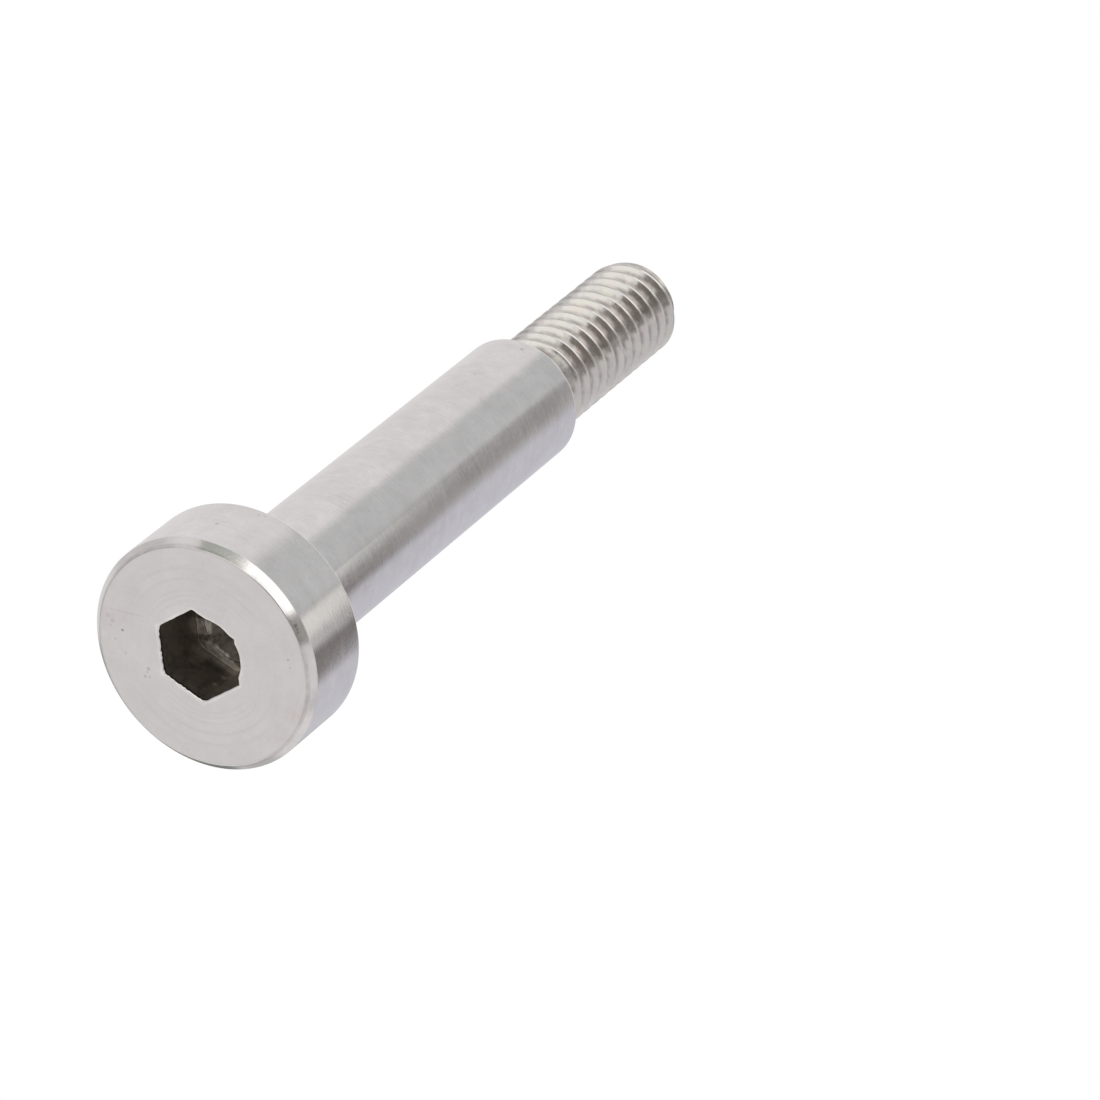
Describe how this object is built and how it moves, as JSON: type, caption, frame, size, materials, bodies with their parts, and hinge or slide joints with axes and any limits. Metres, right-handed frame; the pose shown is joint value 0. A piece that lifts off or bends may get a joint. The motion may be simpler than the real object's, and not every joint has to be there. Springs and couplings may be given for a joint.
{
  "type": "shoulder bolt",
  "caption": "Stainless steel shoulder bolt: cylindrical head with a hexagon socket, a smooth round shoulder that other parts turn on, and a thinner threaded end.",
  "frame": {"origin": "centre of the head's flat socket face, which is the face the bolt stands on", "axes": "+Z along the bolt's axis from the head to the thread's tip; +X through a corner of the hexagon socket; +Y completes the right-handed frame and passes the middle of a flat of the hexagon"},
  "size_m": [0.0088, 0.0088, 0.0331],
  "materials": {
    "stainless_steel": "turned and ground stainless steel, fine turning rings on the end faces, near-mirror under the head, dull dark socket"
  },
  "bodies": {
    "root": {"shoulder_bolt": "stainless_steel"}
  },
  "joints": []
}
